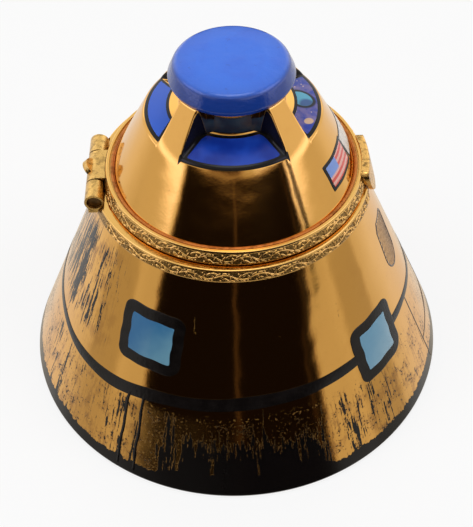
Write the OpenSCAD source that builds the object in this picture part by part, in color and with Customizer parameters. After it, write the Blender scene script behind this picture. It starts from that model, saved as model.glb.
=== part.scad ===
// Hinged porcelain trinket box in the shape of a small space capsule.
// Millimetres. Origin at the bottom centre, +Z up, front towards -Y, hinge on -X, clasp on +X.

/* [Base] */
// Radius of the porcelain base at the table
base_r = 32.5; // [29:0.5:39]
// Height of the porcelain base, up to the rim that sits on it
base_h = 33.6; // [28:0.1:40.4]
// Outer radius of the porcelain at the mouth
mouth_r = 18.5; // [15.4:0.1:22.2]
// Thickness of the base's wall, square to the cone
base_wall = 2.6; // [2:0.1:3.2]
// Thickness of the floor
floor_t = 3; // [2:0.1:4]
// Height of the foot ring
foot_h = 1.2; // [0.6:0.1:2]
// Width of the foot ring
foot_w = 2.8; // [2:0.1:3.4]
// Rounding of the base's lower edge
foot_round = 0.5; // [0.2:0.1:0.8]

/* [Rims] */
// How far the base rim's skirt reaches down the porcelain
skirt_h = 0.5; // [0.4:0.1:1]
// Height of the base rim above the porcelain
base_rim_h = 1.35; // [1:0.05:1.7]
// How far the top of the base rim stands out from the porcelain mouth
base_rim_out = 0.8; // [0.6:0.05:1]
// How far the base rim widens towards the bottom
rim_flare = 0.5; // [0.4:0.05:0.6]
// How far the lid rim narrows towards the top
lid_rim_flare = 0.7; // [0.55:0.05:0.85]
// Ledge of the base rim that shows below the lid rim
rim_ledge = 0.7; // [0.5:0.05:1]
// Joint between the two rims
rim_gap = 0.2; // [0.15:0.05:0.3]
// Height of the lid rim
lid_rim_h = 1.85; // [1.5:0.05:2.4]
// Thickness of the lid rim's shelf under the porcelain
lid_shelf_t = 0.85; // [0.6:0.05:1.1]
// Width of the lip at the top of the lid rim
lip_w = 0.45; // [0.3:0.05:0.6]
// Depth of the groove between lip and porcelain
groove_d = 0.3; // [0.2:0.05:0.4]

/* [Lid] */
// How far the lid's porcelain lies inside the outer edge of its rim
lid_inset = 1.22; // [1.02:0.01:1.46]
// How much the lid's radius shrinks for each millimetre of height
lid_slope = 0.53; // [0.45:0.01:0.6]
// Height of the lid's shoulder above its seat
shoulder_h = 10.15; // [8.5:0.05:12.2]
// Rounding of the shoulder
shoulder_round = 0.9; // [0.4:0.1:1.2]
// Height from the shoulder to the underside of the cap
rib_h = 5.15; // [4.3:0.05:6.2]
// Thickness of the lid's wall, square to the cone
lid_wall = 2.4; // [1.8:0.1:2.9]
// Thickness of the lid over its hollow
crown_t = 1.85; // [1.5:0.05:2.5]
// Radius of the neck under the cap
neck_r = 7; // [5.8:0.1:7.6]
// Rise of a bay's floor from the shoulder to the neck
bay_rise = 1.3; // [0.8:0.1:2]
// Width of a rib at the shoulder
rib_w = 3.9; // [3.2:0.1:4.7]
// Width of a rib at the neck
rib_neck_w = 2.4; // [2:0.1:2.9]
// Rounding of a bay's inner corners, seen from above
bay_corner = 2; // [1.7:0.1:2.4]
// How far the lid sits towards the clasp
lid_shift = 0.35; // [0:0.05:0.4]

/* [Cap] */
// Largest radius of the cap
cap_r = 8.4; // [7.8:0.1:9.6]
// Height of the cap
cap_h = 3.1; // [2.6:0.1:3.8]
// How far the cap's side leans in towards the top
cap_lean = 0.9; // [0.4:0.1:1.2]

/* [Hinge] */
// Outer radius of the knuckles
knuckle_r = 1.35; // [1.2:0.05:1.6]
// Radius of the hinge pin
pin_r = 1; // [0.8:0.05:1.1]
// Length of the whole barrel
barrel_l = 12.8; // [10.6:0.1:15.4]
// Length of the lid's middle knuckle
middle_l = 5.8; // [4.8:0.1:7]
// How far the pin's ends lie inside the barrel
pin_recess = 0.5; // [0.2:0.1:1]
// How far the stop lug reaches from the axis
lug_reach = 2.35; // [2.1:0.05:2.45]
// Thickness of the stop lug
lug_t = 0.8; // [0.5:0.1:0.9]
// Angle of the stop lug above the level with the lid shut
lug_tilt = 48; // [42:1:55]

/* [Clasp] */
// Width of the tongue
tongue_w = 8.8; // [7.3:0.1:10.6]
// Thickness of the tongue
tongue_t = 0.6; // [0.5:0.05:0.8]
// How far the tongue hangs below the joint between the rims
tongue_drop = 2.75; // [2.3:0.05:3.3]
// Depth of the channel behind the tongue that the catch stud runs in
channel_d = 0.3; // [0.25:0.05:0.35]
// Radius of the catch stud
stud_r = 0.4; // [0.3:0.05:0.5]

/* [Hidden] */
$fn = 96;

seat_gap = 0.05;      // cement gap between a rim, or what is soldered to it, and its seat
running_gap = 0.2;    // between parts that move past each other
pin_gap = 0.05;       // round the pin
past = 1;             // how far a cutter runs past what it cuts
arc_steps = 6;        // straight steps in a rounded corner

// Heights
joint_z = base_h + base_rim_h;
lid_z = joint_z + rim_gap;
lid_seat_z = lid_z + lid_shelf_t;
lid_rim_top_z = lid_z + lid_rim_h;
shoulder_z = lid_seat_z + shoulder_h;
cap_z = shoulder_z + rib_h;
ceiling_z = shoulder_z - crown_t;

// Cones
base_slope = (base_r - mouth_r) / base_h;
base_wall_x = base_wall * sqrt(1 + base_slope * base_slope);
lid_wall_x = lid_wall * sqrt(1 + lid_slope * lid_slope);
rib_top_r = cap_r - 0.35;
floor_z = foot_h + floor_t;
neck_hollow_r = neck_r - lid_wall;

// Rims
base_rim_r = mouth_r + base_rim_out;
skirt_z = base_h - skirt_h;
base_bore_r = mouth_r - base_wall_x + 0.1;
lid_rim_r = base_rim_r - rim_ledge;
lid_r = lid_rim_r - lid_inset;
lid_bore_r = lid_r - lid_wall_x + 0.1;
shoulder_r = lid_r - lid_slope * shoulder_h;

// Hinge and clasp
hinge_x = 0.3 - base_rim_r;
hinge_z = joint_z + 0.25;
leaf_z = skirt_z + 0.3;
tongue_z = joint_z - tongue_drop;
tongue_top_z = lid_rim_top_z + 0.3;
tongue_slope = 0.25;                  // lean of the tongue, close to that of the rims
tongue_r = base_rim_r + rim_flare - 0.1;  // inner face of the tongue at the bottom of the base rim
stud_z = joint_z - 1;

// Radius of each outer face at a height
function base_cone(z) = base_r - base_slope * z;
function lid_cone(z) = lid_r - lid_slope * (z - lid_seat_z);
function base_rim_face(z) = base_rim_r + rim_flare * (joint_z - z) / (joint_z - skirt_z);
function lid_rim_face(z) = lid_rim_r - lid_rim_flare * (z - lid_z) / lid_rim_h;
function tongue_face(z) = tongue_r - tongue_slope * (z - skirt_z);

// A corner b between a and c as an arc of radius r
function unit(v) = v / norm(v);
function corner(a, b, c, r) =
    let (u = unit(a - b), v = unit(c - b), half = acos(u * v) / 2,
         centre = b + unit(u + v) * r / sin(half),
         s = b + u * r / tan(half) - centre, e = b + v * r / tan(half) - centre,
         from = atan2(s.y, s.x), turn = (atan2(e.y, e.x) - from + 540) % 360 - 180)
    [for (i = [0:arc_steps]) centre + r * [cos(from + turn * i / arc_steps), sin(from + turn * i / arc_steps)]];

// An outline of [radius, height] or [radius, height, rounding] points
function xy(p) = [p.x, p.y];
function outline(points) = let (n = len(points))
    [for (i = [0:n - 1]) let (p = points[i])
        each is_undef(p[2]) ? [xy(p)] : corner(xy(points[(i + n - 1) % n]), xy(p), xy(points[(i + 1) % n]), p[2])];

module lathe(points, angle = 360) {
    rotate_extrude(angle = angle) polygon(outline(points));
}

// A cylinder on the hinge axis, from one place along Y to another
module on_axis(r, from, to) {
    translate([hinge_x, to, hinge_z]) rotate([90, 0, 0]) cylinder(r = r, h = to - from);
}

// Everything inside a rim's outer face, with the seat gap added
module inside_base_rim() {
    lathe([[0, skirt_z - past], [base_rim_face(skirt_z - past) + seat_gap, skirt_z - past],
           [base_rim_face(joint_z + past) + seat_gap, joint_z + past], [0, joint_z + past]]);
}
module inside_lid_rim() {
    translate([lid_shift, 0, 0]) lathe([[0, lid_z - past], [lid_rim_face(lid_z - past) + seat_gap, lid_z - past],
           [lid_rim_face(lid_rim_top_z + past) + seat_gap, lid_rim_top_z + past], [0, lid_rim_top_z + past]]);
}

module base_shell() {
    color("goldenrod") lathe([
        [0, foot_h], [base_r - foot_w - foot_round, foot_h], [base_r - foot_w - foot_round, 0],
        [base_r, 0, foot_round], [mouth_r, base_h], [mouth_r - base_wall_x, base_h],
        [base_cone(floor_z) - base_wall_x, floor_z, 2], [0, floor_z]]);
}

module base_rim() {
    color("gold") difference() {
        lathe([[base_cone(skirt_z) + seat_gap, skirt_z], [base_rim_face(skirt_z), skirt_z, 0.15],
               [base_rim_r, joint_z, 0.2], [base_bore_r, joint_z], [base_bore_r, base_h],
               [mouth_r + seat_gap, base_h]]);
        on_axis(knuckle_r + seat_gap, -barrel_l / 2 - past, barrel_l / 2 + past);
        on_axis(knuckle_r + running_gap, -middle_l / 2 - running_gap, middle_l / 2 + running_gap);
        intersection() {
            lathe([[tongue_face(skirt_z - past) - running_gap, skirt_z - past],
                   [tongue_face(joint_z + past) - running_gap, joint_z + past],
                   [tongue_r + past, joint_z + past], [tongue_r + past, skirt_z - past]]);
            translate([0, -tongue_w / 2 - running_gap, 0]) cube([2 * tongue_r, tongue_w + 2 * running_gap, tongue_top_z]);
        }
    }
}

// One of the base's two knuckles, with the leaf that is soldered to the base rim
module base_knuckle(from, to) {
    color("gold") difference() {
        union() {
            on_axis(knuckle_r, from, to);
            difference() {
                translate([hinge_x - 0.7 * knuckle_r, from, leaf_z]) cube([4, to - from, hinge_z - leaf_z - 0.6]);
                inside_base_rim();
            }
        }
        on_axis(pin_r + pin_gap, from - past, to + past);
    }
}
module hinge_knuckle_front() {
    base_knuckle(-barrel_l / 2, -middle_l / 2 - rim_gap);
}
module hinge_knuckle_rear() {
    base_knuckle(middle_l / 2 + rim_gap, barrel_l / 2);
}

module hinge_pin() {
    color("darkgoldenrod") on_axis(pin_r, pin_recess - barrel_l / 2, barrel_l / 2 - pin_recess);
}

// The lid's knuckle, its leaf on the lid rim, and the lug that stops the lid
module hinge_knuckle_middle() {
    leaf_top_z = lid_rim_top_z - 0.4;
    color("gold") difference() {
        union() {
            on_axis(knuckle_r, -middle_l / 2, middle_l / 2);
            difference() {
                translate([hinge_x, -middle_l / 2, lid_z + 0.1]) cube([3, middle_l, leaf_top_z - lid_z - 0.1]);
                inside_lid_rim();
            }
            translate([hinge_x, 0, hinge_z]) rotate([0, lug_tilt, 0])
                translate([knuckle_r - lug_reach, 0, -lug_t / 2]) cylinder(r = knuckle_r, h = lug_t);
        }
        on_axis(pin_r + pin_gap, -middle_l / 2 - past, middle_l / 2 + past);
    }
}

// The stud stands on the base rim, in a channel behind the tongue that is open at the bottom
module catch_stud() {
    tip_r = tongue_face(stud_z + stud_r) + channel_d - running_gap / 2;
    seat_r = tongue_face(stud_z) - running_gap;
    color("gold") intersection() {
        translate([seat_r - past, 0, stud_z]) rotate([0, 90, 0]) cylinder(r = stud_r, h = past + tip_r - seat_r);
        lathe([[tongue_face(skirt_z) - running_gap + seat_gap, skirt_z],
               [tongue_face(joint_z) - running_gap + seat_gap, joint_z], [tongue_r + past, joint_z],
               [tongue_r + past, skirt_z]]);
    }
}

// The side of a rib, at half the rib's width from the line at 45 degrees
function rib_side(r, width) = let (a = 45 - asin(width / 2 / r)) r * [sin(a), -cos(a)];

// The front bay between two ribs, as a cutter: its sides run straight out past the shoulder,
// and an arc that touches the rib's side and the neck rounds each inner corner
module bay() {
    meet_r = neck_r - 0.03;    // just inside the neck, so that arc and neck cross
    outer = rib_side(shoulder_r, rib_w);
    inner = rib_side(neck_r, rib_neck_w);
    along = unit(outer - inner);
    inward = [along.y, -along.x];
    start = inner + bay_corner * inward;
    travel = sqrt((start * along) ^ 2 - start * start + (meet_r + bay_corner) ^ 2) - start * along;
    centre = start + travel * along;
    from = atan2(-inward.y, -inward.x);
    to = atan2(-centre.y, -centre.x);
    arc = [for (i = [0:arc_steps]) let (t = from + (to - from) * i / arc_steps)
        centre + bay_corner * [cos(t), sin(t)]];
    side = concat([[outer.x, -shoulder_r - past], outer], arc, [0.9 * arc[arc_steps]]);
    intersection() {
        lathe([[neck_r, shoulder_z + bay_rise], [shoulder_r, shoulder_z], [shoulder_r + past, shoulder_z],
               [shoulder_r + past, cap_z + past], [neck_r, cap_z + past]]);
        linear_extrude(cap_z + 2 * past) polygon(concat(
            side, [for (i = [len(side) - 1:-1:0]) [-side[i].x, side[i].y]]));
    }
}

module lid_shell() {
    color("goldenrod") translate([lid_shift, 0, 0]) difference() {
        lathe([
            [lid_r - lid_wall_x, lid_seat_z], [lid_r, lid_seat_z], [shoulder_r, shoulder_z, shoulder_round],
            [rib_top_r, cap_z], [0, cap_z], [0, cap_z - lid_wall],
            [neck_hollow_r, cap_z - lid_wall, 0.8], [neck_hollow_r, ceiling_z, 0.5],
            [lid_cone(ceiling_z) - lid_wall_x, ceiling_z, 1.5]]);
        for (a = [0:90:270]) rotate([0, 0, a]) bay();
    }
}

module lid_rim() {
    color("gold") difference() {
        translate([lid_shift, 0, 0]) lathe([
               [lid_bore_r, lid_z], [lid_rim_r, lid_z, 0.15],
               [lid_rim_face(lid_rim_top_z), lid_rim_top_z, 0.15],
               [lid_rim_face(lid_rim_top_z) - lip_w, lid_rim_top_z, 0.1],
               [lid_rim_face(lid_rim_top_z) - lip_w, lid_rim_top_z - groove_d],
               [lid_cone(lid_rim_top_z - groove_d) + seat_gap, lid_rim_top_z - groove_d],
               [lid_cone(lid_seat_z) + seat_gap, lid_seat_z], [lid_bore_r, lid_seat_z]]);
        on_axis(knuckle_r + running_gap, -barrel_l / 2 - past, barrel_l / 2 + past);
    }
}

module docking_cap() {
    color("royalblue") translate([lid_shift, 0, 0]) lathe([
        [0, cap_z], [rib_top_r, cap_z, 0.25], [cap_r, cap_z + 0.6, 0.3],
        [cap_r - cap_lean, cap_z + cap_h - 0.25, 1], [0, cap_z + cap_h]]);
}

// The tongue is soldered to the lid rim and hangs over the base rim
module clasp_tongue() {
    root_z = lid_z + running_gap;
    channel_w = 2 * stud_r + 2 * running_gap;
    tongue_round = tongue_top_z - tongue_z - 1.1;    // the tongue's ends are round below and nearly square above
    color("gold") difference() {
        intersection() {
            lathe([[lid_r, root_z], [tongue_face(root_z), root_z],
                   [tongue_face(tongue_z), tongue_z], [tongue_face(tongue_z) + tongue_t, tongue_z, 0.25],
                   [tongue_face(tongue_top_z) + tongue_t, tongue_top_z, 0.4], [lid_r, tongue_top_z]]);
            translate([lid_r, 0, 0]) rotate([90, 0, 90]) linear_extrude(lid_r) polygon(outline([
                [-tongue_w / 2, tongue_top_z, 0.8], [-tongue_w / 2, tongue_z, tongue_round],
                [tongue_w / 2, tongue_z, tongue_round], [tongue_w / 2, tongue_top_z, 0.8]]));
        }
        inside_lid_rim();
        intersection() {
            lathe([[0, tongue_z - past], [tongue_face(tongue_z - past) + channel_d, tongue_z - past],
                   [tongue_face(stud_z + channel_w) + channel_d, stud_z + channel_w], [0, stud_z + channel_w]]);
            union() {
                translate([lid_r, 0, stud_z]) rotate([0, 90, 0]) cylinder(d = channel_w, h = lid_r);
                translate([lid_r, -channel_w / 2, tongue_z - past]) cube([lid_r, channel_w, stud_z - tongue_z + past]);
            }
        }
    }
}

base_shell();
base_rim();
hinge_knuckle_front();
hinge_knuckle_rear();
hinge_pin();
catch_stud();
lid_shell();
lid_rim();
docking_cap();
hinge_knuckle_middle();
clasp_tongue();
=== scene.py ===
import math
import bpy
import numpy as np
from mathutils import Matrix, Vector


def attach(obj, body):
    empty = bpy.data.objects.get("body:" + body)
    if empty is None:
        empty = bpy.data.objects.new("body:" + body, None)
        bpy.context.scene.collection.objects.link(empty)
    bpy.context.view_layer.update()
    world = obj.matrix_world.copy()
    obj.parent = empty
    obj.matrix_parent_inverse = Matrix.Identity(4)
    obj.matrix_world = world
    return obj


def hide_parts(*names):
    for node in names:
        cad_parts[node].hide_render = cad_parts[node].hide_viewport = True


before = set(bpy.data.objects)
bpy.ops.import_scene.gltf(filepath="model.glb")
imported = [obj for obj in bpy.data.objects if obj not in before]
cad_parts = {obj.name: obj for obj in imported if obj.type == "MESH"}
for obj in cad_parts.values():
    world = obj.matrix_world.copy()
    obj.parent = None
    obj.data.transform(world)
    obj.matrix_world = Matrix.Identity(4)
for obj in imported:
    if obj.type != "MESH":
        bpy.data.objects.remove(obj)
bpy.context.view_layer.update()        # bodies "base" and "lid", nodes, the hinge and the record
mm = 0.001
scene = bpy.context.scene
scene.view_settings.view_transform = "Standard"

# camera
cameraPlan = {"place": (0.334, -111.54, 138.61), "aim": (0.334, 0, 15.0), "lens": 73.28, "roll": -1.506}


def makeCamera(plan):
    place = Vector(plan["place"]) * mm
    ahead = (Vector(plan["aim"]) * mm - place).normalized()
    side = ahead.cross(Vector((0, 0, 1))).normalized()
    roll = math.radians(plan["roll"])
    over = side.cross(ahead)
    right = side * math.cos(roll) + over * math.sin(roll)
    up = over * math.cos(roll) - side * math.sin(roll)
    data = bpy.data.cameras.new("camera")
    data.lens = plan["lens"]
    data.sensor_width = 36
    data.clip_start = 0.001
    camera = bpy.data.objects.new("camera", data)
    scene.collection.objects.link(camera)
    turn = Matrix((right, up, -ahead)).transposed()
    camera.matrix_world = Matrix.Translation(place) @ turn.to_4x4()
    scene.camera = camera


makeCamera(cameraPlan)
print("camera placed")


# shader sums
class Sock:
    # an output socket that takes part in sums
    def __init__(self, shader, out):
        self.shader = shader
        self.out = out

    def sum(self, operation, *values):
        return self.shader.sum(operation, *values)

    def __add__(self, other):
        return self.sum("ADD", self, other)

    def __radd__(self, other):
        return self.sum("ADD", other, self)

    def __sub__(self, other):
        return self.sum("SUBTRACT", self, other)

    def __rsub__(self, other):
        return self.sum("SUBTRACT", other, self)

    def __mul__(self, other):
        return self.sum("MULTIPLY", self, other)

    def __rmul__(self, other):
        return self.sum("MULTIPLY", other, self)

    def __truediv__(self, other):
        return self.sum("DIVIDE", self, other)

    def __abs__(self):
        return self.sum("ABSOLUTE", self)

    def atLeast(self, other):
        return self.sum("MAXIMUM", self, other)

    def rise(self, low, high):      # 0 below low, 1 above high, smooth between
        settings = {"interpolation_type": "SMOOTHSTEP"}
        return self.shader.node("ShaderNodeMapRange", settings, self, low, high, 0, 1)

    def within(self, low, high, soft):      # 1 between low and high, soft at both ends
        return self.rise(low - soft / 2, low + soft / 2) * (1 - self.rise(high - soft / 2, high + soft / 2))


class Shader:
    # a node tree with the few calls that the finishes and the sky share
    def __init__(self, tree):
        self.tree = tree
        tree.nodes.clear()

    def node(self, kind, settings, *values, out=0, **named):
        made = self.tree.nodes.new(kind)
        for key, value in settings.items():
            setattr(made, key, value)
        given = list(zip(made.inputs, values)) + [(made.inputs[key], value) for key, value in named.items()]
        for socket, value in given:
            if isinstance(value, Sock):
                self.tree.links.new(value.out, socket)
            elif value is not None:
                socket.default_value = value
        return Sock(self, made.outputs[out])

    def mix(self, factor, a, b):
        a, b = [v if isinstance(v, Sock) else (*v, 1) for v in (a, b)]
        unused = [None] * 5      # the sockets of the node's other data types
        return self.node("ShaderNodeMix", {"data_type": "RGBA"}, factor, *unused, a, b, out=2)

    def noise(self, place, scale, detail=3, rough=0.5):
        return self.node("ShaderNodeTexNoise", {}, place, None, scale, detail, rough)

    def vector(self, x, y, z):
        return self.node("ShaderNodeCombineXYZ", {}, x, y, z)

    def axes(self, vector):
        parts = self.node("ShaderNodeSeparateXYZ", {}, vector).out.node
        return [Sock(self, parts.outputs[i]) for i in range(3)]

    def sum(self, operation, *values):
        return self.node("ShaderNodeMath", {"operation": operation}, *values)

    def far(self, across, up):      # how far a place lies from the middle of a spot
        return self.sum("SQRT", across * across + up * up)


def colour(red, green, blue):      # a colour written as on a screen, 0 to 255
    shares = [v / 255 for v in (red, green, blue)]
    return tuple(v / 12.92 if v <= 0.04 else ((v + 0.055) / 1.055) ** 2.4 for v in shares)


class Finish(Shader):
    # one material: its place on the object in millimetres, and a Principled shader at the end
    def __init__(self, name, shift=0, **plain):
        self.material = bpy.data.materials.new(name)
        self.material.use_nodes = True
        super().__init__(self.material.node_tree)
        texture = self.node("ShaderNodeTexCoord", {}, out=3)
        self.place = self.node("ShaderNodeMapping", {}, texture, (-shift, 0, 0), None, (1000, 1000, 1000))
        self.x, self.y, self.z = self.axes(self.place)
        self.skin = self.tree.nodes.new("ShaderNodeBsdfPrincipled")
        ending = self.tree.nodes.new("ShaderNodeOutputMaterial")
        self.tree.links.new(self.skin.outputs[0], ending.inputs[0])
        self.put(**{"Specular IOR Level": 0.5})
        self.put(**plain)

    def put(self, **sockets):
        for name, value in sockets.items():
            name = name.replace("_", " ")
            if isinstance(value, Sock):
                self.tree.links.new(value.out, self.skin.inputs[name])
            else:
                if name.endswith("Color") and len(value) == 3:
                    value = (*value, 1)
                self.skin.inputs[name].default_value = value

    def bump(self, height, strength, distance):
        made = self.node("ShaderNodeBump", {}, strength, distance, Height=height)
        self.put(Normal=made)

    def turn(self):      # angle round the axis in degrees: 0 at the front, 90 at the clasp
        return self.sum("ARCTAN2", self.x, self.y * -1) * (180 / math.pi)


# sizes, in millimetres
body = {"radius": 32.5, "height": 33.6, "mouth": 18.5, "wall": 2.6, "floor": 4.2, "foot": 1.2,
        "footWidth": 2.8, "edge": 0.5}
rims = {"skirtZ": 33.1, "jointZ": 34.95, "lidZ": 35.15, "topZ": 37.0, "groove": 0.3}
dome = {"radius": 17.38, "slope": 0.53, "seatZ": 36.0, "shoulderZ": 46.15, "capZ": 51.3, "ribTop": 8.05,
        "neck": 7.0, "bayRise": 1.3, "rib": 3.9, "ribAtNeck": 2.4, "corner": 2.0, "batter": 0.42, "wall": 2.4,
        "ceilingZ": 44.3, "shift": 0.35}
knob = {"foot": 8.05, "radius": 8.4, "lean": 0.9, "height": 3.1}
baseSlope = (body["radius"] - body["mouth"]) / body["height"]
baseCone = {"radius": body["radius"], "slope": baseSlope, "z": 0, "shift": 0}
lidCone = {"radius": dome["radius"], "slope": dome["slope"], "z": dome["seatZ"], "shift": dome["shift"]}
shoulder = dome["radius"] - dome["slope"] * (dome["shoulderZ"] - dome["seatZ"])


def coneRadius(cone, z):
    return cone["radius"] - cone["slope"] * (z - cone["z"])


# mesh helpers
def roundedOutline(points, steps=6):
    # points are (r, z) or (r, z, rounding)
    result = []
    for i, point in enumerate(points):
        if len(point) == 2:
            result.append(point)
            continue
        b = np.array(point[:2])
        u = np.array(points[i - 1][:2]) - b
        v = np.array(points[(i + 1) % len(points)][:2]) - b
        u, v = u / np.linalg.norm(u), v / np.linalg.norm(v)
        half = math.acos(np.clip(u @ v, -1, 1)) / 2
        centre = b + (u + v) / np.linalg.norm(u + v) * point[2] / math.sin(half)
        start = b + u * point[2] / math.tan(half) - centre
        end = b + v * point[2] / math.tan(half) - centre
        a = math.atan2(start[1], start[0])
        sweep = (math.atan2(end[1], end[0]) - a + 3 * math.pi) % (2 * math.pi) - math.pi
        for k in range(steps + 1):
            t = a + sweep * k / steps
            result.append(tuple(centre + point[2] * np.array((math.cos(t), math.sin(t)))))
    return result


def meshObject(name, verts, faces, materials, indexes=None, sharp=50):
    verts = np.asarray(verts, float)
    volume = 0
    for f in faces:
        a = verts[f[0]]
        for i in range(1, len(f) - 1):
            volume += a @ np.cross(verts[f[i]], verts[f[i + 1]])
    if volume < 0:
        faces = [tuple(reversed(f)) for f in faces]
    mesh = bpy.data.meshes.new(name)
    mesh.from_pydata([tuple(v) for v in verts * mm], [], faces)
    for material in materials:
        mesh.materials.append(material.material)
    if indexes is not None:
        mesh.polygons.foreach_set("material_index", indexes)
    mesh.polygons.foreach_set("use_smooth", [True] * len(faces))
    mesh.set_sharp_from_angle(angle=math.radians(sharp))
    piece = bpy.data.objects.new(name, mesh)
    scene.collection.objects.link(piece)
    return piece


def ringFaces(rows, columns, closedRows=False):
    faces = []
    for j in range(rows if closedRows else rows - 1):
        below, above = j * columns, (j + 1) % rows * columns
        for i in range(columns):
            n = (i + 1) % columns
            faces.append((below + i, below + n, above + n, above + i))
    return faces


def turned(name, profile, materials, zones, shift=0, columns=288, sharp=50):
    # a turned piece: its profile starts and ends on the axis, or is a closed ring
    onAxis = profile[0][0] == 0
    inner = profile[1:-1] if onAxis else profile
    angles = np.arange(columns) / columns * 2 * math.pi
    verts = [(r * math.sin(a) + shift, -r * math.cos(a), z) for r, z in inner for a in angles]
    faces = ringFaces(len(inner), columns, not onAxis)
    marks = [zones(0.5 * (inner[j][0] + inner[(j + 1) % len(inner)][0]),
                   0.5 * (inner[j][1] + inner[(j + 1) % len(inner)][1]), j)
             for j in range(len(inner) if not onAxis else len(inner) - 1) for i in range(columns)]
    if onAxis:
        for point, row in ((profile[0], 0), (profile[-1], len(inner) - 1)):
            pole = len(verts)
            verts.append((shift, 0, point[1]))
            for i in range(columns):
                a, b = row * columns + i, row * columns + (i + 1) % columns
                faces.append((pole, b, a) if row == 0 else (pole, a, b))
                marks.append(zones(inner[row][0] / 2, point[1], row))
    return meshObject(name, verts, faces, materials, marks, sharp)


def onCone(cone, angle, z, lift):
    # a point at an angle in degrees, lifted square to the cone
    lean = math.atan(cone["slope"])
    r = coneRadius(cone, z) + lift * math.cos(lean)
    a = math.radians(angle)
    return (r * math.sin(a) + cone["shift"], -r * math.cos(a), z + lift * math.sin(lean))


def fromFlat(cone, centre, u, v):
    # from the paint's own flat u, v in millimetres to an angle and a height
    z = centre[1] + v * math.cos(math.atan(cone["slope"]))
    return centre[0] + math.degrees(u / coneRadius(cone, z)), z


def enamel(name, cone, centre, outline, lift, material, base=0.0):
    # a thin closed layer of enamel with a soft edge, following the cone
    n = len(outline)
    rings = [(1, base - 0.05), (1, base + lift * 0.4), (0.985, base + lift * 0.85), (0.96, base + lift),
             (0.64, base + lift), (0.32, base + lift)]
    verts = [onCone(cone, *fromFlat(cone, centre, s * u, s * v), w) for s, w in rings for u, v in outline]
    faces = ringFaces(len(rings), n)
    middle = len(verts)
    verts.append(onCone(cone, *centre, base + lift))
    verts.append(onCone(cone, *centre, base - 0.6))
    last = (len(rings) - 1) * n
    for i in range(n):
        faces.append((middle, last + i, last + (i + 1) % n))
        faces.append((middle + 1, (i + 1) % n, i))
    piece = meshObject(name, verts, faces, [material])
    us, vs = zip(*outline)
    spread = [(min(us), max(us)), (min(vs), max(vs))]
    flat = [(s * u, s * v) for s, w in rings for u, v in outline] + [(0, 0), (0, 0)]
    layer = piece.data.uv_layers.new(name="paint")
    for loop in piece.data.loops:
        u, v = flat[loop.vertex_index]
        layer.data[loop.index].uv = ((u - spread[0][0]) / (spread[0][1] - spread[0][0]),
                                     (v - spread[1][0]) / (spread[1][1] - spread[1][0]))
    return piece


def densified(points, spacing):
    # the same closed outline with more points on its long stretches
    dense = []
    for i, p in enumerate(points):
        q = points[(i + 1) % len(points)]
        cuts = max(1, int(math.dist(p, q) / spacing))
        dense += [(p[0] + (q[0] - p[0]) * k / cuts, p[1] + (q[1] - p[1]) * k / cuts) for k in range(cuts)]
    return dense


def roundedBox(bottom, top, height, radius, wobble=0.0):
    # a box with rounded corners, drawn by a hand that wobbles a little
    b, t, h = bottom / 2, top / 2, height / 2
    corners = [(-b, -h, radius), (b, -h, radius), (t, h, radius), (-t, h, radius)]
    dense = densified(roundedOutline(corners, 5), 0.5)
    return [(x + wobble * math.sin(2.1 * y + 1), y + wobble * math.sin(1.7 * x)) for x, y in dense]


def stroke(cone, path, widths, lift, closed=False):
    # a brush stroke of enamel along a path of (angle, z), as vertices and faces
    path = np.array(path, float)
    lean = math.cos(math.atan(cone["slope"]))
    along = np.radians(path[:, 0]) * coneRadius(cone, path[:, 1])
    flat = np.column_stack([along, path[:, 1] / lean])
    step = np.roll(flat, -1, 0) - np.roll(flat, 1, 0)
    step[0], step[-1] = flat[1] - flat[0], flat[-1] - flat[-2]      # not from the last point to the first
    step /= np.linalg.norm(step, axis=1)[:, None]
    across = np.column_stack([-step[:, 1], step[:, 0]])
    half = lift * 0.5
    section = [(-0.5, -0.06), (-0.5, half), (-0.42, lift), (0.42, lift), (0.5, half), (0.5, -0.06)]
    verts, n = [], len(section)
    for (angle, z), side, width in zip(path, across, widths):
        for s, w in section:
            du, dv = side * s * width
            high = z + dv * lean
            verts.append(onCone(cone, angle + math.degrees(du / coneRadius(cone, z)), high, w))
    faces = ringFaces(len(path), n, closed)
    if not closed:
        faces += [tuple(reversed(range(n))), tuple(range((len(path) - 1) * n, len(path) * n))]
    return verts, faces


def joined(parts):
    verts, faces = [], []
    for v, f in parts:
        faces += [tuple(i + len(verts) for i in face) for face in f]
        verts += list(v)
    return verts, faces


# finishes
goldLook = {"mirror": (0.76, 0.405, 0.10), "thin": (0.68, 0.34, 0.08), "brown": (0.36, 0.17, 0.055),
            "black": (0.0045, 0.0032, 0.003)}


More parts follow.
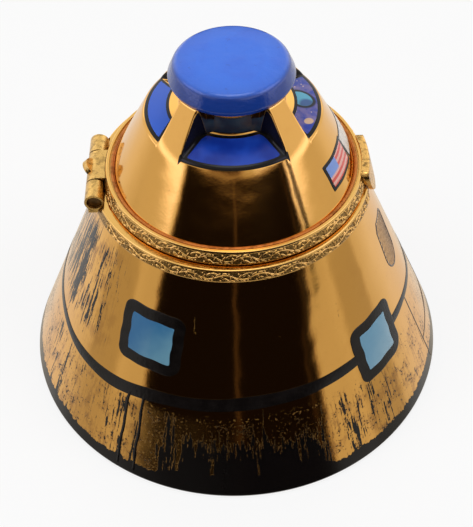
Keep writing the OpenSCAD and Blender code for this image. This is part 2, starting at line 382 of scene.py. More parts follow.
def baseGilding():
    f = Finish("gildedBase", **{"Specular IOR Level": 0.22})
    angle = f.turn()
    radius = f.far(f.x, f.y)
    across = f.vector(f.x / radius, f.y / radius, f.z * 0.0034)
    # the brush went up and down the cone, so its marks are long in z and fine round the axis
    hair = f.noise(across, 74, 3, 0.6)
    tuft = f.noise(across, 15, 3, 0.55)
    ragged = f.noise(across, 46, 4, 0.7)
    grit = f.noise(f.place, 2.4, 4, 0.65)
    patch = f.noise(f.place, 0.42, 3, 0.6)
    # how much black the brush left: on the left above the band, a little below it, most at the front foot
    left = angle.within(-104, -50, 26) * f.z.rise(13, 19) * (1 - f.z.rise(28, 34))
    back = angle.within(118, 176, 30) * f.z.rise(15, 20) * (1 - f.z.rise(27, 33))
    below = 1 - f.z.rise(11.4, 13.4)
    front = angle.within(-20, 24, 12) * (1 - f.z.rise(4, 12.5))
    sides = angle.within(-78, -20, 10).atLeast(angle.within(25, 52, 8)) * below
    load = left * 0.58 + back * 0.5 + below * 0.16 + front * 0.75 + sides * 0.2
    dry = hair * 0.66 + tuft * 0.5 + grit * 0.2
    strokes = (dry + load * 0.40).rise(0.892, 0.908)
    ring = (1.0 + ragged * 1.6 + tuft * 1.1 + front * 1.5 - f.z).rise(-0.03, 0.03)
    specks = (grit * 0.8 + patch * 0.35).rise(0.67, 0.69) * below
    painted = strokes.atLeast(ring).atLeast(specks)
    haze = (hair * 0.5 + patch * 0.6).rise(0.50, 0.66) * (below * 0.55 + left * 0.65)
    scuffed = below * angle.within(-62, -4, 20)
    gold = f.mix(patch.rise(0.5, 0.75) * 0.25, goldLook["mirror"], goldLook["thin"])
    wornGold = f.mix(haze.atLeast(grit.rise(0.6, 0.75) * 0.16), gold, goldLook["brown"])
    f.put(Base_Color=f.mix(painted, wornGold, goldLook["black"]))
    f.put(Metallic=1 - painted, Roughness=0.06 + grit * 0.06 + scuffed * 0.16 + painted * 0.1)
    wave = f.noise(f.place, 0.11, 2, 0.5)
    f.bump(wave + grit * 0.03 + painted * 0.04, 0.5, 0.0003)
    return f


def skyEnamel(f, radius, cloud):
    # the bay over the clasp: a pale planet with a shadow, a moon and sparse stars, placed by radius and y
    planet = f.far(radius - 9.3, f.y - 0.6)
    shadow = f.far(radius - 10.1, f.y + 0.5)
    moon = f.far(radius - 10.6, f.y + 3.6)
    stars = f.node("ShaderNodeTexVoronoi", {}, f.place, None, 1.3)
    disc = 1 - planet.rise(1.35, 1.5)
    tone = f.mix(cloud.rise(0.4, 0.65), colour(50, 70, 165), colour(120, 110, 165))
    tone = f.mix(1 - planet.rise(1.75, 2.0), tone, colour(22, 26, 40))
    tone = f.mix(disc, tone, colour(96, 176, 205))
    tone = f.mix(disc * (1 - shadow.rise(0.9, 1.5)), tone, colour(60, 96, 150))
    tone = f.mix(1 - moon.rise(0.5, 0.65), tone, colour(214, 178, 150))
    return f.mix((1 - stars.rise(0.1, 0.16)) * planet.rise(2.2, 2.4), tone, colour(220, 196, 170))


def lidGilding():
    f = Finish("gildedLid", dome["shift"], **{"Specular IOR Level": 0.22})
    angle = f.turn()
    radius = f.far(f.x, f.y)
    edge = f.node("ShaderNodeAttribute", {"attribute_name": "bayEdge"}, out=2)
    grit = f.noise(f.place, 2.2, 4, 0.65)
    cloud = f.noise(f.place, 0.5, 3, 0.6)
    inBay = edge.rise(0.40, 0.50)
    lined = edge.rise(-0.84, -0.78)
    blue = f.mix(f.noise(f.place, 0.3, 2, 0.5).rise(0.3, 0.7), colour(16, 46, 142), colour(27, 68, 176))
    # the bays towards the sides are painted a lighter blue than the front one: a painted highlight for the
    # light that falls on them
    blue = f.mix(abs(angle).rise(42, 64), blue, colour(54, 100, 212))
    claspBay = f.x.rise(5.6, 5.8) * (1 - abs(f.y).rise(6.4, 6.6))
    blue = f.mix(claspBay, blue, skyEnamel(f, radius, cloud))
    chips = (f.noise(f.place, 1.25, 2, 0.7)).rise(0.775, 0.785) * (1 - edge.rise(-3, -2))
    painted = lined.atLeast(chips)
    gold = f.mix(cloud.rise(0.5, 0.8) * 0.25, goldLook["mirror"], goldLook["thin"])
    f.put(Base_Color=f.mix(inBay, f.mix(painted, gold, goldLook["black"]), blue))
    f.put(Metallic=1 - painted, Roughness=0.06 + grit * 0.05 + painted * 0.1)
    wave = f.noise(f.place, 0.13, 2, 0.5)
    f.bump(wave * 0.8 + grit * 0.03, 0.5, 0.00025)
    return f


def whiteGlaze():
    f = Finish("whiteGlaze", Roughness=0.12)
    cloud = f.noise(f.place, 0.3, 3)
    f.put(Base_Color=f.mix(cloud, colour(236, 232, 224), colour(246, 244, 240)))
    f.bump(f.noise(f.place, 0.5, 2), 0.3, 0.0004)
    return f


def bareFoot():
    f = Finish("bareFoot", Roughness=0.7)
    f.put(Base_Color=f.mix(f.noise(f.place, 1.2, 4), colour(226, 218, 205), colour(240, 235, 226)))
    f.bump(f.noise(f.place, 5, 3), 0.4, 0.0001)
    return f


def capGlaze():
    f = Finish("capGlaze", dome["shift"], Coat_Weight=0.35, Coat_Roughness=0.1)
    cloud = f.noise(f.place, 0.22, 4, 0.6)
    spot = f.noise(f.place, 0.9, 3, 0.5)
    # the top is painted a lighter blue and the side a darker one: a painted highlight on the top and painted
    # shade on the side, for light falling from above
    top = f.z.rise(53.65, 54.35)
    tone = f.mix(top, colour(18, 56, 140), colour(28, 104, 222))
    tone = f.mix(cloud.rise(0.42, 0.68) * 0.4 * top, tone, colour(24, 84, 204))
    tone = f.mix(spot.rise(0.66, 0.74) * 0.35 * top, tone, colour(26, 60, 158))
    f.put(Base_Color=tone, Roughness=0.16 + spot * 0.1)
    f.bump(cloud + spot * 0.15, 0.35, 0.0006)
    return f


def rimBrass(name, low, high, shift=0):
    # plain bright lips at both edges, darkened and stippled ground between them
    f = Finish(name, shift)
    grain = f.noise(f.place, 5.5, 4, 0.7)
    pits = f.node("ShaderNodeTexVoronoi", {"feature": "F1"}, f.place, None, 4.2, out=0)
    ground = f.z.within(low, high, 0.12)
    dark = ground * (0.68 + pits.rise(0.2, 0.6) * -0.25 + grain.rise(0.4, 0.7) * 0.4)
    f.put(Base_Color=f.mix(dark, (0.80, 0.47, 0.13), (0.035, 0.014, 0.006)))
    f.put(Metallic=1.0, Roughness=0.13 + ground * 0.2 + grain * 0.08)
    f.bump(ground * (pits * 0.8 + grain * 0.5) + grain * 0.05, 0.6, 0.00008)
    return f


def brass(name, tone, rough=0.2, worn=0.3):
    f = Finish(name)
    grain = f.noise(f.place, 4.5, 4, 0.65)
    smear = f.noise(f.place, 1.1, 4, 0.7)
    f.put(Base_Color=f.mix(smear.rise(0.45, 0.65) * worn, tone, tuple(v * 0.2 for v in tone)))
    f.put(Metallic=1.0, Roughness=rough + grain * 0.12)
    f.bump(grain * 0.6 + smear, 0.6, 0.0001)
    return f


def paintOf(name, low, high, scale=0.5, rough=0.2, shine=0.5):
    f = Finish(name, **{"Specular IOR Level": shine})
    cloud = f.noise(f.place, scale, 3, 0.6)
    f.put(Base_Color=f.mix(cloud.rise(0.35, 0.65), low, high), Roughness=rough + cloud * 0.08)
    f.bump(f.noise(f.place, 2.5, 3), 0.3, 0.0001)
    return f


def panePaint():
    # the left pane is deeper, the right one paler; both lighten towards their lower right
    f = Finish("paneEnamel", **{"Specular IOR Level": 0.35})
    cloud = f.noise(f.place, 0.3, 2, 0.5)
    side = f.turn().rise(-10, 20)
    right = f.turn() - (82.2 * side - 30.6)
    down = 22.1 - 6.7 * side - f.z
    grade = (right * 0.05 + down * 0.10 + cloud * 0.5).rise(-0.1, 0.95)
    deep = f.mix(side, colour(48, 110, 158), colour(112, 160, 188))
    pale = f.mix(side, colour(110, 158, 180), colour(150, 182, 198))
    f.put(Base_Color=f.mix(grade, deep, pale), Roughness=0.16)
    return f


def flagPaint():
    f = Finish("flagPaint", Roughness=0.25)
    flat = f.node("ShaderNodeUVMap", {"uv_map": "paint"})
    u, v, _ = f.axes(flat)
    bars = f.sum("SINE", v * (2 * math.pi * 3.5) + 1.4).rise(-0.3, 0.3)
    tone = f.mix(bars, colour(238, 178, 164), colour(222, 82, 70))
    corner = (1 - u.rise(0.43, 0.46)) * v.rise(0.44, 0.5)
    tone = f.mix(corner, tone, colour(124, 154, 222))
    f.put(Base_Color=tone)
    return f


materials = {
    "base": baseGilding(), "lid": lidGilding(), "glaze": whiteGlaze(), "foot": bareFoot(), "cap": capGlaze(),
    "baseRim": rimBrass("baseRimBrass", rims["skirtZ"] + 0.2, rims["jointZ"] - 0.3),
    "lidRim": rimBrass("lidRimBrass", rims["lidZ"] + 0.15, rims["topZ"] - 0.3, dome["shift"]),
    "relief": brass("reliefBrass", (0.80, 0.46, 0.13), 0.12, 0.9),
    "hinge": brass("hingeBrass", (0.72, 0.44, 0.13), 0.2, 0.55),
    # the pin is painted a dark brass: painted shade for its end sunk in the knuckles
    "pin": brass("pinBrassPaintedShade", (0.20, 0.12, 0.05), 0.35, 0.7),
    "cement": brass("cementLine", (0.50, 0.17, 0.04), 0.3, 0.55),
    "line": paintOf("blackEnamel", goldLook["black"], (0.008, 0.006, 0.0055), shine=0.25),
    "thinLine": paintOf("brownEnamel", colour(92, 66, 40), colour(66, 48, 34)),
    "pane": panePaint(),
    "plate": paintOf("plateEnamel", colour(216, 205, 194), colour(232, 222, 212), 0.8),
    "flag": flagPaint(),
}
print("finishes made:", len(materials))


# base porcelain
def makeBase():
    wallX = body["wall"] * math.hypot(1, baseCone["slope"])
    footIn = body["radius"] - body["footWidth"] - body["edge"]
    profile = roundedOutline([
        (0, body["foot"]), (footIn, body["foot"], 0.25), (footIn, 0, 0.2), (body["radius"], 0, body["edge"]),
        (body["mouth"], body["height"]), (body["mouth"] - wallX, body["height"]),
        (coneRadius(baseCone, body["floor"]) - wallX, body["floor"], 2), (0, body["floor"])])

    def zone(r, z, row):
        if z < 0.02:
            return 2
        return 0 if abs(r - coneRadius(baseCone, z)) < 0.4 and z < body["height"] - 0.01 else 1

    piece = turned("base_porcelain", profile, [materials[k] for k in ("base", "glaze", "foot")], zone)
    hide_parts("base_shell")
    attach(piece, "base")


makeBase()
print("base turned")


# lid porcelain
def sideAngle(r):
    # how far a bay reaches from its middle, in degrees: along the rib, then round the corner at the neck
    def ribEdge(at, width):
        a = math.radians(45) - math.asin(width / 2 / at)
        return np.array((at * math.sin(a), at * math.cos(a)))

    def travel(start, along, reach):      # from start to the place that lies at this radius
        return math.sqrt((start @ along) ** 2 - start @ start + reach ** 2) - start @ along
    r = min(r, shoulder)
    inner = ribEdge(dome["neck"], dome["ribAtNeck"])
    along = ribEdge(shoulder, dome["rib"]) - inner
    along /= np.linalg.norm(along)
    inward = np.array((-along[1], along[0])) * dome["corner"]
    centre = inner + inward
    centre = centre + along * travel(centre, along, dome["neck"] + dome["corner"])
    if r > np.linalg.norm(centre - inward):
        x, y = inner + along * travel(inner, along, r)
        return math.degrees(math.atan2(x, y))
    reach = np.linalg.norm(centre)
    opening = (r * r + reach * reach - dome["corner"] ** 2) / (2 * r * reach)
    return math.degrees(math.atan2(*centre) + math.acos(min(1, opening)))


def arcBetween(a, b, c, radius, steps):
    # a rounded corner at b, listed from a's side to c's
    return roundedOutline([a, (*b, radius), c], steps)[1:-1]


def lidColumns(halfBay=40, wall=9, halfRib=12):
    # (part of the bay's half angle, part of the wall, part of the rib's half angle) across one quarter
    half = [(i / halfBay, 0, 0) for i in range(halfBay)]
    half += [(1, i / wall, 0) for i in range(wall)]
    half += [(1, 1, i / halfRib) for i in range(halfRib)]
    return [(*c, 1) for c in half] + [(1, 1, 1, 1)] + [(*c, -1) for c in reversed(half[1:])]


# the bays from the front round by the clasp: the radius where the blue ends at the neck, the radius where the
# black line starts and its width, and how fast the paint draws in from the ribs
bayPaint = [
    {"neck": 7.45, "lineAt": 12.15, "line": 0.6, "taper": 0},
    {"neck": 8.5, "lineAt": 11.85, "line": 0.5, "taper": 0.15},
    {"neck": 8.3, "lineAt": 11.9, "line": 0.8, "taper": 0},
    {"neck": 8.7, "lineAt": 11.8, "line": 0.5, "taper": 0.5},
]


def lidRows():
    # the outline through a bay's middle and along a rib, row for row, and how many rows are plain cone
    bottom = (dome["radius"], dome["seatZ"])
    corner = (shoulder, dome["shoulderZ"])
    ribEnd = (dome["ribTop"], dome["capZ"])
    bayEnd = (dome["neck"], dome["shoulderZ"] + dome["bayRise"])
    cone = [tuple(np.array(bottom) + (np.array(corner) - bottom) * t) for t in np.linspace(0, 0.87, 9)]
    bayArc = arcBetween(bottom, corner, bayEnd, 1.0, 8)
    ribArc = arcBetween(bottom, corner, ribEnd, 14, 8)

    def slope(start, end, r):
        return start[1] + (end[1] - start[1]) * (start[0] - r) / (start[0] - end[0])

    radii = np.linspace(min(bayArc[-1][0], ribArc[-1][0]) - 0.05, dome["ribTop"], 24)
    bayRow = cone + bayArc + [(r, slope(corner, bayEnd, r)) for r in [*radii, 7.9, 7.65]]
    bayRow += arcBetween(corner, bayEnd, (dome["neck"], dome["capZ"]), 0.5, 6)
    bayRow += [(dome["neck"], z) for z in np.linspace(bayEnd[1] + 0.9, dome["capZ"], 6)]
    ribRow = cone + ribArc + [(r, slope(corner, ribEnd, r)) for r in radii]
    inward = np.linspace(dome["ribTop"] - 0.1, dome["neck"] - 0.4, len(bayRow) - len(ribRow))
    ribRow += [(r, dome["capZ"]) for r in inward]
    return bayRow, ribRow, len(cone)


def lidHollow():
    wallX = dome["wall"] * math.hypot(1, dome["slope"])
    hollow = dome["neck"] - dome["wall"]
    top = dome["capZ"] - dome["wall"]
    return roundedOutline([
        (dome["radius"] - wallX, dome["seatZ"]),
        (coneRadius(lidCone, dome["ceilingZ"]) - wallX, dome["ceilingZ"], 1.5),
        (hollow, dome["ceilingZ"], 0.5), (hollow, top, 0.8), (0, top)], 5)[:-1]


def bayMark(paint, r, reach, bay, wall, rib, deep):
    # what lies here, read by the gilding: blue above 0.45, black from there down to -0.8, and gold below that
    line = (paint["lineAt"] - r) * 1.25 / paint["line"] - 0.8
    if rib > 0:
        return -1.3
    if wall > 0:
        return min(-wall if deep else -wall * 0.2, (r - paint["neck"] - 0.2) * 3, line)
    toSide = reach * (1 - bay) * r - paint["taper"] * (paint["lineAt"] - r)
    return min(toSide if paint["taper"] == 0 else toSide * 3 - 0.3, line, (r - paint["neck"]) * 3)


def lidOutside():
    bayRow, ribRow, coneRows = lidRows()
    verts, edgeMarks = [], []
    for row, ((bayR, bayZ), (ribR, ribZ)) in enumerate(zip(bayRow, ribRow)):
        atBay, atRib = sideAngle(bayR), sideAngle(ribR)
        batter = math.degrees(dome["batter"] / bayR)
        deep = ribZ - bayZ > 0.35
        for quarter in range(4):
            for bay, wall, rib, sign in lidColumns():
                paint = bayPaint[quarter if sign > 0 else (quarter + 1) % 4]
                climb = wall * wall * (3 - 2 * wall)
                r, z = bayR + (ribR - bayR) * climb, bayZ + (ribZ - bayZ) * climb
                edge = atBay + (atRib - atBay) * climb
                local = bay * (edge - batter) + wall * batter + rib * (45 - edge)
                angle = math.radians(90 * quarter + (local if sign > 0 else 90 - local))
                verts.append((r * math.sin(angle) + dome["shift"], -r * math.cos(angle), z))
                mark = bayMark(paint, bayR, math.radians(edge - batter), bay, wall, rib, deep)
                edgeMarks.append(-4.0 if row < coneRows else mark)
    return verts, edgeMarks, len(bayRow)


def makeLid():
    verts, edgeMarks, rows = lidOutside()
    count = len(verts) // rows
    faces = ringFaces(rows, count)
    marks = [0] * len(faces)
    angles = [math.atan2(x - dome["shift"], -y) for x, y, z in verts[:count]]
    start = len(verts)
    hollow = lidHollow()
    for r, z in hollow:
        verts += [(r * math.sin(a) + dome["shift"], -r * math.cos(a), z) for a in angles]
    inner = [tuple(start + i for i in reversed(f)) for f in ringFaces(len(hollow), count)]
    inner += [((i + 1) % count, i, start + i, start + (i + 1) % count) for i in range(count)]
    faces += inner
    marks += [1] * len(inner)
    for height, row, mark in ((dome["capZ"], (rows - 1) * count, 0),
                              (dome["capZ"] - dome["wall"], start + (len(hollow) - 1) * count, 1)):
        pole = len(verts)
        verts.append((dome["shift"], 0, height))
        for i in range(count):
            a, b = row + i, row + (i + 1) % count
            faces.append((pole, a, b) if mark == 0 else (pole, b, a))
            marks.append(mark)
    edgeMarks += [-4.0] * (len(verts) - len(edgeMarks))
    piece = meshObject("lid_porcelain", verts, faces, [materials["lid"], materials["glaze"]], marks, 62)
    layer = piece.data.attributes.new("bayEdge", "FLOAT", "POINT")
    layer.data.foreach_set("value", edgeMarks)
    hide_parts("lid_shell")
    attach(piece, "lid")


makeLid()
print("lid modelled")


def makeCap():
    z = dome["capZ"]
    top = z + knob["height"]
    profile = roundedOutline([
        (0, z), (knob["foot"], z, 0.2), (knob["radius"], z + 0.75, 0.45),
        (knob["radius"] - knob["lean"], top - 0.3, 1.0), (4.5, top - 0.06, 4), (0, top)], 8)
    piece = turned("blue_cap", profile, [materials["cap"]], lambda r, z, row: 0, dome["shift"])
    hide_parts("docking_cap")
    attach(piece, "lid")


makeCap()
print("cap turned")


# enamel on the base
# angle and height of the middle, widths at the bottom and top and height of the frame, size of the pane
windows = [
    {"name": "window_left", "middle": (-30.6, 22.1), "frame": (10.2, 9.7, 9.5), "pane": (6.8, 6.0)},
    {"name": "window_right", "middle": (51.6, 15.4), "frame": (10.0, 9.7, 9.6), "pane": (6.4, 6.2)},
]
bandLine = [      # angle, height and width of the band that runs round the base
    (-180, 13.6, 1.6), (-130, 14.2, 1.6), (-100, 14.3, 1.1), (-75, 13.9, 1.2), (-61, 12.8, 1.6),
    (-42, 13.1, 1.95), (-26, 14.1, 2.1), (0, 14.9, 2.1), (26, 15.3, 1.9), (51, 15.5, 1.6),
    (65, 15.3, 1.25), (82, 14.3, 1.0), (95, 13.0, 1.0), (130, 12.9, 1.5), (180, 13.6, 1.6)]
enamelPlan = {"lift": 0.05, "paneLift": 0.035, "frameCorner": 1.7, "paneCorner": 0.25}


def own(piece, node="base"):
    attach(piece, node)


def makeWindows():
    for w in windows:
        bottom, top, height = w["frame"]
        wide, high = w["pane"]
        frameOutline = roundedBox(bottom, top, height, enamelPlan["frameCorner"], 0.05)
        frameName, paneName = w["name"] + "_frame", w["name"] + "_pane"
        own(enamel(frameName, baseCone, w["middle"], frameOutline, enamelPlan["lift"], materials["line"]))
        paneOutline = roundedBox(wide, wide * 0.97, high, enamelPlan["paneCorner"], 0.07)
        own(enamel(paneName, baseCone, w["middle"], paneOutline, enamelPlan["paneLift"], materials["pane"],
                   enamelPlan["lift"]))


def makeBand():
    knots = np.array(bandLine)
    angles = np.arange(-180, 180, 1.5)

    def smooth(column):      # the list runs once round, so its ends are repeated before it is smoothed
        around = np.interp(angles, knots[:, 0], knots[:, column])
        for _ in range(3):
            around = (np.roll(around, 2) + around + np.roll(around, -2)) / 3
        return around
    heights = smooth(1) + 0.05 * np.sin(np.radians(angles * 11))
    widths = smooth(2) + 0.10 * np.sin(np.radians(angles * 7 + 20)) + 0.05 * np.sin(np.radians(angles * 23))
    path = list(zip(angles, heights))
    verts, faces = stroke(baseCone, path, widths, enamelPlan["lift"] * 0.8, True)
    own(meshObject("painted_band", verts, faces, [materials["line"]]))


fineLines = [      # from and to, each an angle and a height
    ((74.5, 14.4), (75.2, 1.3)), ((75.3, 5.1), (101, 4.6)), ((101, 4.6), (101.4, 13.0)),
    ((-112, 14.0), (-112.4, 1.4)), ((146, 13.2), (146.3, 1.4)), ((152, 13.2), (152.2, 1.4))]


def makePanelLines():
    bold = []
    for angle in (-34.65, -29.55):
        path = [(angle + 0.15 * math.sin(z), z) for z in np.linspace(1.2, 13.2, 26)]
        bold.append(stroke(baseCone, path, [0.46 + 0.06 * math.sin(2 * z) for _, z in path], 0.04))
    own(meshObject("painted_seams", *joined(bold), [materials["line"]]))
    fine = []
    for start, end in fineLines:
        path = [(start[0] + (end[0] - start[0]) * t, start[1] + (end[1] - start[1]) * t)
                for t in np.linspace(0, 1, 24)]
        fine.append(stroke(baseCone, path, [0.28] * len(path), 0.03))
    own(meshObject("painted_fine_lines", *joined(fine), [materials["thinLine"]]))


def makeVent():
    vent = {"middle": (80.6, 23.5), "length": 8.6, "width": 5.4, "line": 0.3, "hatch": 0.15, "every": 0.72,
            "tilt": 9}
    tilt = math.radians(vent["tilt"])

    def place(u, v):
        return fromFlat(baseCone, vent["middle"], u * math.cos(tilt) + v * math.sin(tilt),
                        v * math.cos(tilt) - u * math.sin(tilt))
    radius = vent["width"] / 2
    straight = vent["length"] / 2 - radius
    outline = [(radius * math.cos(t), -straight + radius * math.sin(t)) for t in np.linspace(-math.pi, 0, 14)]
    outline += [(radius, straight + radius * 0.7), (radius * 0.7, straight + radius),
                (-radius * 0.7, straight + radius), (-radius, straight + radius * 0.6)]
    dense = densified(outline, 0.6)
    edge = [place(u, v) for u, v in dense + dense[:1]]
    parts = [stroke(baseCone, edge, [vent["line"]] * len(edge), 0.035)]

    def inside(u, v):
        if abs(u) > radius - 0.1 or v > straight + radius - 0.2:
            return False
        return v > -straight or math.hypot(u, v + straight) < radius - 0.1
    for offset in np.arange(-7, 7, vent["every"]):      # slanting hatch, cut off at the outline
        line = [(offset + 0.8 * v, v) for v in np.linspace(-6, 6, 80)]
        path = [place(u, v) for u, v in line if inside(u, v)]
        if len(path) > 8:
            parts.append(stroke(baseCone, path, [vent["hatch"]] * len(path), 0.025))
    own(meshObject("painted_vent", *joined(parts), [materials["thinLine"]]))


makeWindows()
makeBand()
makePanelLines()
makeVent()
print("base painted")


# enamel on the lid
def makeFlagAndPlate():
    flag = {"middle": (69.4, 40.35), "size": (7.25, 4.15), "line": 0.5}
    plate = {"middle": (97.4, 40.15), "size": (7.9, 3.9), "line": 0.25}
    for name, plan, finish in (("flag", flag, "flag"), ("blank_plate", plate, "plate")):
        wide, high = plan["size"]
        lines = 2 * plan["line"]
        outer = roundedBox(wide, wide * 0.97, high, 0.15, 0.03)
        inner = roundedBox(wide - lines, wide * 0.97 - lines, high - lines, 0.1, 0.02)
        own(enamel(name + "_border", lidCone, plan["middle"], outer, 0.045, materials["line"]), "lid")
        own(enamel(name, lidCone, plan["middle"], inner, 0.03, materials[finish], 0.045), "lid")


makeFlagAndPlate()
print("lid painted")


# cement line in the rim's groove
def makeCementLine():
    top = rims["topZ"] - 0.08
    bottom = rims["topZ"] - rims["groove"] - 0.02
    inner = coneRadius(lidCone, bottom) - 0.1
    outer = inner + 0.36
    corners = [(inner, bottom), (outer, bottom), (outer, top - 0.05, 0.04), (inner, top, 0.04)]
    profile = roundedOutline(corners, 3)
    piece = turned("cement_line", profile, [materials["cement"]], lambda r, z, row: 0, dome["shift"])
    own(piece, "lid")


makeCementLine()


# leaf scroll round the rims, by Geometry Nodes
def mound(outline, height, rings=((1, -0.5), (0.9, 0.55), (0.55, 0.95))):
    # a small raised shape with a flat underside, as (u, v, w)
    centre = np.mean(outline, axis=0)
    n = len(outline)
    verts = [(*(centre + (np.array(p) - centre) * s), w * height) for s, w in rings for p in outline]
    faces = ringFaces(len(rings), n)
    verts += [(*centre, height), (*centre, -0.5 * height)]
    last = (len(rings) - 1) * n
    for i in range(n):
        faces.append((len(verts) - 2, last + i, last + (i + 1) % n))
        faces.append((len(verts) - 1, (i + 1) % n, i))
    return verts, faces


def leaf(u, v, angle, length, width, height=0.09):
    c, s = math.cos(math.radians(angle)), math.sin(math.radians(angle))
    outline = []
    for t in np.linspace(0, 2 * math.pi, 10, endpoint=False):
        along, across = math.cos(t) * length / 2, math.sin(t) * width / 2 * (1 - 0.35 * math.cos(t))
        outline.append((u + along * c - across * s, v + along * s + across * c))
    return mound(outline, height)


def stem(points, width, height=0.07):
    points = np.array(points)
    step = np.gradient(points, axis=0)
    step /= np.linalg.norm(step, axis=1)[:, None]
    section = [(-0.5, -0.4), (-0.35, 0.6), (0, 1), (0.35, 0.6), (0.5, -0.4)]
    verts = [(p[0] - d[1] * s * width, p[1] + d[0] * s * width, w * height)
             for p, d in zip(points, step) for s, w in section]
    faces = ringFaces(len(points), len(section))
    faces += [tuple(reversed(range(len(section)))), tuple(range(len(verts) - len(section), len(verts)))]
    return verts, faces


def scrollMotif(length, height):
    # one wave of a leafy scroll: u runs along the rim, v up it from the middle of the band
    wave = [(u, 0.24 * height * math.sin(2 * math.pi * u / length)) for u in np.linspace(0, length, 22)]
    parts = [stem(wave, 0.16)]
    sprays = [      # part of the wave, height, angle, length, width
        (0.06, 0.27, 35, 0.85, 0.30), (0.17, -0.05, -62, 0.75, 0.26), (0.24, 0.40, 8, 0.70, 0.24),
        (0.30, -0.28, -28, 0.95, 0.32), (0.42, 0.02, 58, 0.72, 0.27), (0.44, -0.40, 4, 0.80, 0.24),
        (0.56, -0.27, -38, 0.85, 0.30), (0.66, 0.06, 64, 0.78, 0.27), (0.74, -0.38, -6, 0.66, 0.24),
        (0.80, 0.27, 30, 0.95, 0.33), (0.92, -0.02, -56, 0.72, 0.26), (0.95, 0.40, -5, 0.78, 0.22)]
    for part, v, angle, long, wide in sprays:
        parts.append(leaf(part * length, v * height, angle, long, wide))
    for part, v in ((0.12, -0.36), (0.36, 0.36), (0.62, 0.36), (0.88, -0.36)):
        parts.append(leaf(part * length, v * height, 0, 0.24, 0.24, 0.09))
    return joined(parts)


scrolls = [      # the band's lowest and highest edge as height and radius, and what stays bare, in degrees
    {"name": "base_scroll", "body": "base", "low": (33.28, 19.76), "high": (34.62, 19.39),
     "shift": 0.0, "repeats": 26, "hingeGap": 21, "claspGap": 13},
    {"name": "lid_scroll", "body": "lid", "low": (35.32, 18.54), "high": (36.66, 18.03),
     "shift": dome["shift"], "repeats": 24, "hingeGap": 22, "claspGap": 14},
]


def bentMotif(plan):
    # the motif laid on the rim's leaning face at angle 0, as a mesh to be repeated
    (lowZ, lowR), (highZ, highR) = plan["low"], plan["high"]
    middleZ, middleR = (lowZ + highZ) / 2, (lowR + highR) / 2
    length = 2 * math.pi * middleR / plan["repeats"]
    flat, faces = scrollMotif(length, highZ - lowZ)
    verts = []
    for u, v, w in flat:
        r = middleR + v * (highR - lowR) / (highZ - lowZ) + w
        a = (u - length / 2) / middleR
        verts.append((r * math.cos(a), r * math.sin(a), middleZ + v))
    return meshObject(plan["name"] + "_motif", verts, faces, [materials["relief"]])


def repeatTree():
    tree = bpy.data.node_groups.new("aroundTheRim", "GeometryNodeTree")
    for label, kind in (("Motif", "Object"), ("Repeats", "Int"), ("Centre", "Vector"), ("Hinge Gap", "Float"),
                        ("Clasp Gap", "Float"), ("Material", "Material")):
        tree.interface.new_socket(label, in_out="INPUT", socket_type="NodeSocket" + kind)
    tree.interface.new_socket("Geometry", in_out="OUTPUT", socket_type="NodeSocketGeometry")
    g = Shader(tree)
    inputs = tree.nodes.new("NodeGroupInput")
    given = {socket.name: Sock(g, socket) for socket in inputs.outputs if socket.name}
    count = given["Repeats"]
    points = g.node("GeometryNodePoints", {}, count, given["Centre"])
    index = g.node("GeometryNodeInputIndex", {})
    turn = (index + 0.5) * 360 / count
    fromHinge = abs(turn - 180)
    isClear = g.node("FunctionNodeCompare", {"operation": "GREATER_THAN"}, fromHinge, given["Hinge Gap"])
    notClasp = g.node("FunctionNodeCompare", {"operation": "LESS_THAN"}, fromHinge, 180 - given["Clasp Gap"])
    both = g.node("FunctionNodeBooleanMath", {"operation": "AND"}, isClear, notClasp)
    motif = g.node("GeometryNodeObjectInfo", {}, given["Motif"], out=4)
    spin = g.vector(0, 0, turn * (math.pi / 180))
    copies = g.node("GeometryNodeInstanceOnPoints", {}, points, both, motif, Rotation=spin)
    real = g.node("GeometryNodeRealizeInstances", {}, copies)
    shown = g.node("GeometryNodeSetMaterial", {}, real, Material=given["Material"])
    ending = tree.nodes.new("NodeGroupOutput")
    tree.links.new(shown.out, ending.inputs[0])
    return tree


def makeScroll(plan, tree):
    motif = bentMotif(plan)
    holder = bpy.data.objects.new(plan["name"] + "_holder", bpy.data.meshes.new("holder"))
    scene.collection.objects.link(holder)
    modifier = holder.modifiers.new("scroll", "NODES")
    modifier.node_group = tree
    names = {item.name: item.identifier for item in tree.interface.items_tree if item.in_out == "INPUT"}
    values = {"Motif": motif, "Repeats": plan["repeats"], "Centre": (plan["shift"] * mm, 0, 0),
              "Hinge Gap": float(plan["hingeGap"]), "Clasp Gap": float(plan["claspGap"]),
              "Material": materials["relief"].material}
    for label, value in values.items():
        modifier[names[label]] = value
    seen = holder.evaluated_get(bpy.context.evaluated_depsgraph_get())
    mesh = bpy.data.meshes.new_from_object(seen)
    piece = bpy.data.objects.new(plan["name"], mesh)
    scene.collection.objects.link(piece)
    bpy.data.objects.remove(holder)
    bpy.data.objects.remove(motif)
    mesh.polygons.foreach_set("use_smooth", [True] * len(mesh.polygons))
    own(piece, plan["body"])
    print(plan["name"], len(mesh.polygons), "faces")


scrollTree = repeatTree()
for plan in scrolls:
    makeScroll(plan, scrollTree)

# finishes of the carried-over nodes
nodeFinish = {
    "base_rim": "baseRim", "lid_rim": "lidRim", "clasp_tongue": "relief", "hinge_knuckle_front": "hinge",
    "hinge_knuckle_rear": "hinge", "hinge_knuckle_middle": "hinge", "catch_stud": "hinge", "hinge_pin": "pin"}
for node, key in nodeFinish.items():
    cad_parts[node].material_slots[0].material = materials[key].material


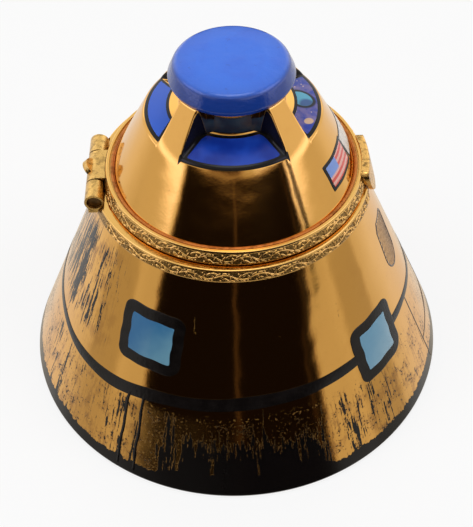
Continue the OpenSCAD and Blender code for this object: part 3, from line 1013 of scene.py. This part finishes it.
# studio
def makeFloor():
    half = 3.0
    corners = [(-half, -half, 0), (half, -half, 0), (half, half, 0), (-half, half, 0)]
    mesh = bpy.data.meshes.new("floor")
    mesh.from_pydata(corners, [], [(0, 1, 2, 3)])
    floor = bpy.data.objects.new("floor", mesh)
    scene.collection.objects.link(floor)
    material = bpy.data.materials.new("paleFloor")
    material.use_nodes = True
    s = Shader(material.node_tree)
    path = s.tree.nodes.new("ShaderNodeLightPath")
    seen = Sock(s, path.outputs["Is Camera Ray"])
    white = s.node("ShaderNodeEmission", {}, (1, 1, 1, 1), 1.0)
    matt = s.node("ShaderNodeBsdfDiffuse", {}, (0.82, 0.82, 0.82, 1))
    blend = s.node("ShaderNodeMixShader", {}, seen * 0.82, matt, white)
    ending = s.tree.nodes.new("ShaderNodeOutputMaterial")
    s.tree.links.new(blend.out, ending.inputs[0])
    mesh.materials.append(material)
    floor.visible_glossy = False


tent = {      # what the gilding mirrors: bearings from the front and heights in degrees, then strengths
    "plain": 0.70,
    "boxes": {"bearing": (56, 112), "height": (3, 55), "strength": 1.2},
    "card": {"bearing": (-53, 47), "height": (-40, 13), "glow": 0.008},
    "hood": {"bearing": (-29, 9), "height": (14.5, 34), "strength": 0.92},
    "backCard": {"bearing": 170, "height": (-32, 20), "strength": 0.8},
    "zenith": 2.2,
}


def tentLight(s, bearing, height):
    # the tent's strength and colour in a direction
    away = abs(bearing)
    level = tent["plain"] + 0.2 * away.rise(94, 120) + 0.08 * away.rise(60, 74)
    level = level - 0.24 * away.within(71, 95, 5) * (1 - height.rise(-15, -4))
    boxes = tent["boxes"]
    box = away.within(*boxes["bearing"], 6) * height.within(*boxes["height"], 6)
    box = box * (1 - 0.85 * height.within(10, 32, 6))      # dimmer where the ribs mirror it
    box = box.atLeast(bearing.within(22, 58, 8) * height.within(14, 31, 5) * 0.45)
    level = level + boxes["strength"] * box + tent["zenith"] * height.rise(70, 80)
    ground = (1 - height.rise(-46, -22)) * away.rise(96, 130)
    level = level * (1 - 0.12 * ground)
    level = level + 0.5 * away.within(135, 165, 10) * height.within(0, 40, 10)
    # the dark card in front, with two slits of light in it and a dark strip past its right edge
    card, back, hood = tent["card"], tent["backCard"], tent["hood"]
    left, right = card["bearing"]
    past = bearing - (right + 6 * height.rise(-15, -7) + 3 * height.rise(-4, 6))
    dark = bearing.rise(left - 1.5, left + 1.5) * (1 - past.rise(-1.5, 1.5))
    dark = dark * height.within(*card["height"], 4)
    strip = past.within(2.6, 7.5, 1.6) * height.within(-10, 12, 4)
    slit = bearing.within(-1.0, 1.0, 1.0) * 0.07 + past.within(-6, -4.8, 1.0) * 0.05
    behind = away.rise(back["bearing"] - 2, back["bearing"] + 2) * height.within(*back["height"], 8)
    level = level * (1 - dark) * (1 - strip * 0.93) * (1 - behind * back["strength"])
    level = level + dark * (card["glow"] + slit)
    shade = bearing.within(*hood["bearing"], 14) * height.within(*hood["height"], 6)      # over the card
    level = level * (1 - shade * hood["strength"])
    tone = s.mix(level.rise(0.5, 1.0), (1, 0.93, 0.80), (1, 1, 1))
    tone = s.mix(ground, tone, (1, 0.87, 0.70))
    tone = s.mix(dark.atLeast(shade), tone, (1, 0.66, 0.5))
    tone = s.mix(box * (1 - shade), tone, (1, 1, 1.4))
    return level, tone


def makeSky():
    # white to the eye, plain for matt surfaces, and the tent for what mirrors it
    world = bpy.data.worlds.new("studio")
    scene.world = world
    world.use_nodes = True
    s = Shader(world.node_tree)
    x, y, z = s.axes(s.node("ShaderNodeTexCoord", {}))
    degrees = 180 / math.pi
    bearing = s.sum("ARCTAN2", x, y * -1) * degrees      # 0 in front, positive towards the clasp
    height = s.sum("ARCSINE", z) * degrees
    level, tone = tentLight(s, bearing, height)
    mirrored = s.node("ShaderNodeBackground", {}, tone, level)
    plain = s.node("ShaderNodeBackground", {}, (1, 1, 1, 1), 0.30)
    white = s.node("ShaderNodeBackground", {}, (1, 1, 1, 1), 1.0)
    path = s.tree.nodes.new("ShaderNodeLightPath")
    glossy = Sock(s, path.outputs["Is Glossy Ray"])
    camera = Sock(s, path.outputs["Is Camera Ray"])
    blend = s.node("ShaderNodeMixShader", {}, glossy, plain, mirrored)
    blend = s.node("ShaderNodeMixShader", {}, camera, blend, white)
    ending = s.tree.nodes.new("ShaderNodeOutputWorld")
    s.tree.links.new(blend.out, ending.inputs[0])


def makeLamp(name, place, size, power):
    data = bpy.data.lights.new(name, "AREA")
    data.shape = "DISK"
    data.size = size
    data.energy = power
    lamp = bpy.data.objects.new(name, data)
    scene.collection.objects.link(lamp)
    lamp.location = place
    lamp.rotation_euler = (Vector((0, 0, 0.03)) - Vector(place)).to_track_quat("-Z", "Y").to_euler()
    lamp.visible_glossy = False


makeFloor()
makeSky()
makeLamp("leftBox", (-0.45, -0.12, 0.55), 0.4, 1.5)
makeLamp("rightBox", (0.45, -0.12, 0.55), 0.4, 1.5)
makeLamp("topBox", (0, 0.25, 0.7), 0.5, 1.6)
print("studio lit")
